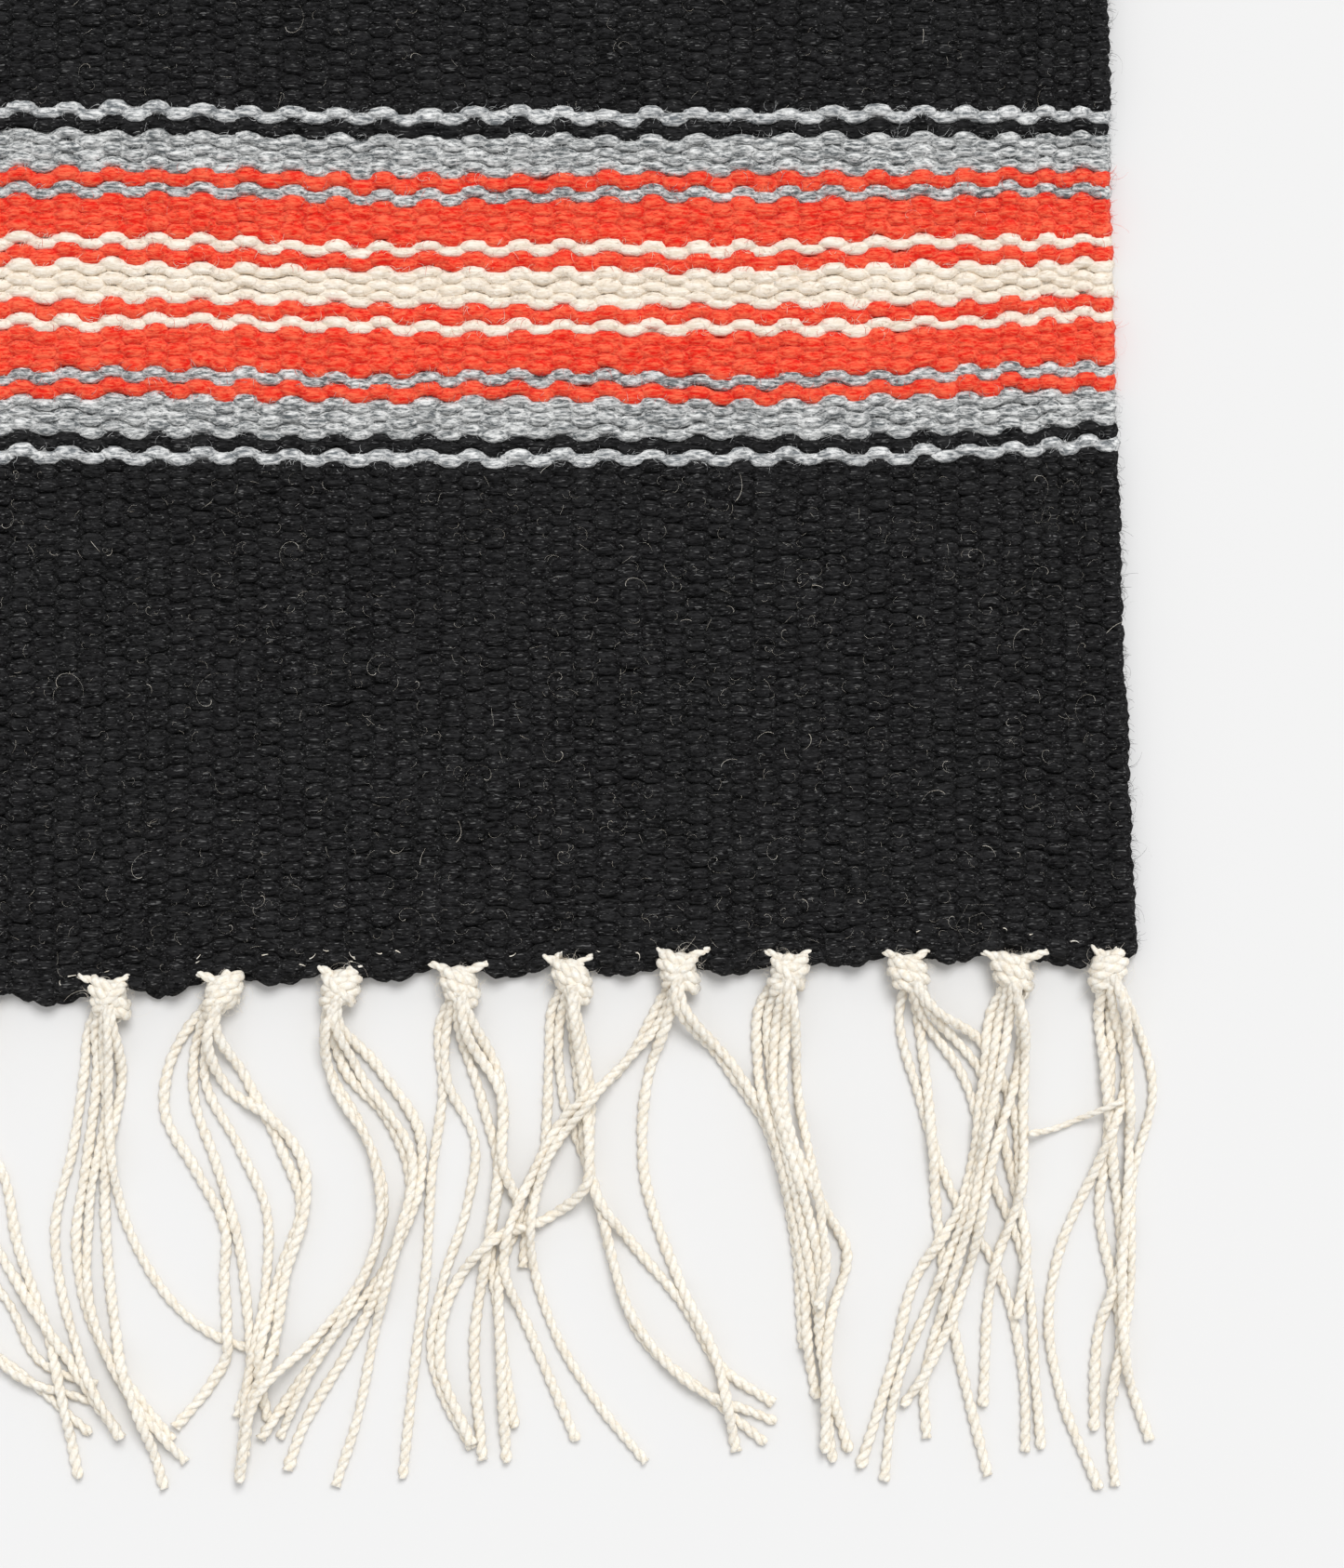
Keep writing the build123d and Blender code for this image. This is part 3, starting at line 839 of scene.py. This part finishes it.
def entry(shape, heart, x, end, pick, step, around):
    """A warp end at X that comes out of the weave and runs into its knot."""
    drift = (x - heart[0]) * pick.uniform(0.5, 1.0)
    far_out = SIDE_END_OUT if abs(drift) > 1 else MIDDLE_END_OUT
    line = np.array([
        [drift * 0.85, -far_out, thickness - 1.1],
        [drift * 0.74, 0.2 - far_out, thickness - 0.1],
        [drift * 0.4, -2.8, thickness + 0.3],
        [drift * 0.15, -1.9, thickness + 0.3],
        [drift * 0.1, 0.2, KNOT_RISE],
    ])  # fmt: skip
    line[:, 1] *= end
    line[:, :2] += heart[:2]
    twist = pick.uniform(0, 6)
    two_ply(shape, route(line, step), STRAND * ENTRY_SIZE, around, twist, frayed=False, thin_start=True)


def coil(shape, heart, end, tilt, grow, pick, step, around):
    """The turns round a knot's body, slanted by tilt."""
    share = np.linspace(0, 1, int(COIL_TURNS * 2 * np.pi * COIL_ROUND / step))
    begin = pick.uniform(0, 2 * np.pi)
    angle = begin + share * COIL_TURNS * 2 * np.pi
    belly = np.sin(np.pi * (BELLY[0] + BELLY[1] * share))
    x = COIL_SIDE * grow * belly * np.cos(angle)
    y = COIL_START + COIL_LENGTH * share + COIL_SLANT * math.tan(tilt) * x
    centres = np.stack([x, end * y, COIL_UP * belly * np.sin(angle)], -1) + heart
    two_ply(shape, centres, STRAND * COIL_SIZE, around, begin, frayed=False, plump=TIED_PLUMP)


def tuck(shape, heart, end, tilt, grow, pick, step, around):
    """The cord that crosses over the coils."""
    line = np.array(TUCK)
    line[:, 0] *= math.copysign(grow, tilt)
    line[:, 1] *= end
    twist = pick.uniform(0, 6)
    two_ply(shape, route(line + heart, step), STRAND, around, twist, frayed=False, plump=TIED_PLUMP)


def fuzz(shape, heart, pick):
    """Loose fibres all round a knot."""
    for many, length, thick, curl in KNOT_HAIRS:
        about = pick.uniform(0, 2 * np.pi, many)
        height = pick.uniform(-FUZZ_UP, FUZZ_UP, many)
        roots = np.stack([FUZZ_SIDE * np.cos(about), FUZZ_ALONG * np.sin(about), height], -1)
        heading = about + pick.normal(0, KNOT_HAIR_TURN, many)
        hairs(shape, heart + roots, heading, length, KNOT_HAIR_LIFT, thick, curl, lay=stay)


def core(shape, heart, end):
    """The closed ball that fills a knot between its coils."""
    ball = np.linspace(0, np.pi, CORE_RINGS)
    ring = np.stack([0 * ball, -CORE_ALONG * np.cos(ball), 0 * ball], -1) + heart
    skin = np.sin(ball)[:, None] + CORE_TIP
    side = skin[None] * np.array([CORE_SIDE, 0, 0])
    up = skin[None] * np.array([0, 0, CORE_UP]) * end
    shape.grid(sweep(ring[None], side, up, CORE_SIDES))


def knot(shape, heart, ends, end, seed, detail):
    """An overhand knot on the woven edge: warp ends that run in, coils round the body, and often a tuck."""
    pick = np.random.default_rng(seed)
    tilt = math.radians(pick.uniform(*TILT)) * (1 if pick.random() < MOSTLY else -1)
    grow = pick.uniform(*KNOT_SIZES)
    step, around = FINE_KNOT if detail else PLAIN_KNOT
    for x in ends:
        entry(shape, heart, x, end, pick, step, around)
    coil(shape, heart, end, tilt, grow, pick, step, around)
    if pick.random() < MOSTLY:
        tuck(shape, heart, end, tilt, grow, pick, step, around)
    if detail:
        fuzz(shape, heart, pick)
    core(shape, heart, end)


# ---- fringe ----
DETAIL_FROM = 150  # the near fringe beyond this X is modelled finely
FINE_STRAND, PLAIN_STRAND = (0.6, 8), (1.1, 5)  # step along a strand, and points round it
STRAND_SIZES = (0.86, 1.05)
EXIT_DROP = 0.6  # how far below a knot's middle its strands start
IN_KNOT = 0.75  # a strand starts this share of the way from its first point to the knot's middle
SIDE_ROOM = 12  # how far a strand may stray past the side of the rug
STRAND_HAIRS = 100
STRAND_HAIR = {"length": 1.7, "lift": 0.3, "thick": 0.035}
HAIRLESS = 6  # a strand's first points, inside its knot, bear no hairs
HAIR_ROOT = 0.5  # height of their roots above the middle of the strand
# a tassel that isn't drawn after a real one is another, scaled, leant over and with its points scattered
SCALES = (0.9, 1.0)
LEAN = 0.06
POINT_SCATTER = 0.9
KNOT_SCATTER = 1.2
KNOT_OUT = 0.8  # how far its knot lies outside the woven edge


def tassel(shape, plan, x, end, heart, flip, drawn, detail, pick):
    """Lays the strands of the tassel at X down one after another, each from the middle of its knot, heart."""
    scale = 1 if drawn else pick.uniform(*SCALES)
    lean = 0 if drawn else pick.normal(0, LEAN)
    step, around = FINE_STRAND if detail else PLAIN_STRAND
    for strand in plan:
        line = np.array(strand, float)
        if not drawn:
            line[1:] += pick.normal(0, POINT_SCATTER, line[1:].shape)
        line = np.r_[[line[0]], line]
        shift = line[:, 1] * lean
        line = np.c_[x + flip * line[:, 0] * scale + shift, end * (end_y + line[:, 1] * scale)]
        line[0] = IN_KNOT * heart[:2] + (1 - IN_KNOT) * line[1]
        line[:, 0] = np.clip(line[:, 0], -half_width - SIDE_ROOM, half_width + SIDE_ROOM)
        centres = lay_down(route(line, step), KNOT_RISE - EXIT_DROP)
        size = STRAND * pick.uniform(*STRAND_SIZES)
        two_ply(shape, centres, size, around, pick.uniform(0, 6))
        if detail:
            chosen = pick.integers(HAIRLESS, len(centres), STRAND_HAIRS)
            roots = centres[chosen] + [0, 0, HAIR_ROOT]
            hairs(shape, roots, pick.uniform(0, 2 * np.pi, STRAND_HAIRS), **STRAND_HAIR, lay=stay)


knot_x = [(i - (MIDDLE_KNOTS - 1) / 2) * knot_pitch for i in range(MIDDLE_KNOTS)]
# every knot of an end from the left, as its X and, for a middle one, its number
order = [(-edge_knot_x, None), *zip(knot_x, range(MIDDLE_KNOTS)), (edge_knot_x, None)]
for end, word in ((-1, "near"), (1, "far")):
    knots, strands = Shape(), Shape()
    for place, (x, number) in enumerate(order):
        edge = number is None
        drawn = end < 0 and (place == len(order) - 1 or (not edge and number >= FIRST_DRAWN_KNOT))
        detail = end < 0 and x > DETAIL_FROM
        pick = np.random.default_rng(100 * place + (end > 0))
        if edge:
            plan, flip = EDGE_TASSEL, math.copysign(1, x)
        elif drawn:
            plan, flip = TASSELS[number - FIRST_DRAWN_KNOT], 1
        else:
            plan, flip = TASSELS[pick.integers(len(TASSELS))], pick.choice([-1, 1])
        scatter = pick.uniform(-KNOT_SCATTER, KNOT_SCATTER)
        heart = np.array([x + scatter, edge_y(x, end)[0] + end * KNOT_OUT, KNOT_RISE])
        if drawn:
            shift, outward = HEARTS[-1 if edge else number - FIRST_DRAWN_KNOT]
            heart[:2] = x + shift, end * (end_y + outward)
        half = ((ENDS_PER_EDGE_KNOT if edge else ENDS_PER_KNOT) - 1) / 2
        ends = heart[0] + warp_pitch * half * np.array([-1, 0, 1])
        knot(knots, heart, ends, end, 7 * place + 2 + end, detail)
        tassel(strands, plan, x, end, heart, flip, drawn, detail, pick)
        if drawn and edge:
            ply = np.array(STRAY_PLY, float)
            ply = np.c_[x + ply[:, 0], end * (end_y + ply[:, 1])]
            centres = lay_down(route(ply, STRAY_STEP), STRAND)
            two_ply(strands, centres, STRAND * STRAY_SIZE, 8, 0.0)
    for shape, part in ((knots, "knots"), (strands, "fringe")):
        ob = shape.piece(f"tied_{word}_{part}", FINISH["warp_cord"], "warp_cord")
        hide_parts(f"{word}_{part}")

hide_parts("warp_cords", "selvedge_cord_left", "selvedge_cord_right")

# ---- floor, light and camera ----
FLOOR_SIZE = 30
FLOOR_GREY = (0.75, 0.75, 0.75, 1)
SKY_STRENGTH = 0.66
KEY_STRENGTH = 1.98
KEY_ANGLE = math.radians(28)  # how wide the key light is, seen from the rug, for soft shadows
KEY_TURN = (math.radians(-28), math.radians(10), 0)
LENS, SENSOR = 100.0, 36.0
SEEN_LENGTH = 293.2  # what the frame's long side covers, in millimetres
SEEN_HEIGHT = 3  # at this height above the floor, in millimetres
VIEW_FROM_SIDE, VIEW_FROM_END = 86.9, 34.6  # centre of the view, in from the right side and from the near end
CLIP_START = 0.05

bpy.ops.mesh.primitive_plane_add(size=FLOOR_SIZE, location=(0, 0, 0))
floor = bpy.context.object
floor.name = "floor"
paper = bpy.data.materials.new("pale floor")
paper.use_nodes = True
paper_shader = paper.node_tree.nodes["Principled BSDF"]
paper_shader.inputs["Base Color"].default_value = FLOOR_GREY
paper_shader.inputs["Roughness"].default_value = 1.0
paper_shader.inputs["Specular IOR Level"].default_value = 0.0
floor.data.materials.append(paper)

sky = bpy.data.worlds.new("studio")
sky.use_nodes = True
sky_light = sky.node_tree.nodes["Background"]
sky_light.inputs["Color"].default_value = (1.0, 1.0, 1.0, 1)
sky_light.inputs["Strength"].default_value = SKY_STRENGTH
bpy.context.scene.world = sky
lamp = bpy.data.lights.new("soft key", "SUN")
lamp.energy = KEY_STRENGTH
lamp.angle = KEY_ANGLE
key = bpy.data.objects.new("soft key", lamp)
key.rotation_euler = KEY_TURN
bpy.context.scene.collection.objects.link(key)

camera_data = bpy.data.cameras.new("camera")
camera_data.lens = LENS
camera_data.sensor_width = SENSOR
camera_data.clip_start = CLIP_START
camera = bpy.data.objects.new("camera", camera_data)
camera.location = (
    (half_width - VIEW_FROM_SIDE) * MM,
    (VIEW_FROM_END - end_y) * MM,
    (SEEN_LENGTH * LENS / SENSOR + SEEN_HEIGHT) * MM,
)
bpy.context.scene.collection.objects.link(camera)
bpy.context.scene.camera = camera
bpy.context.scene.view_settings.view_transform = "Standard"
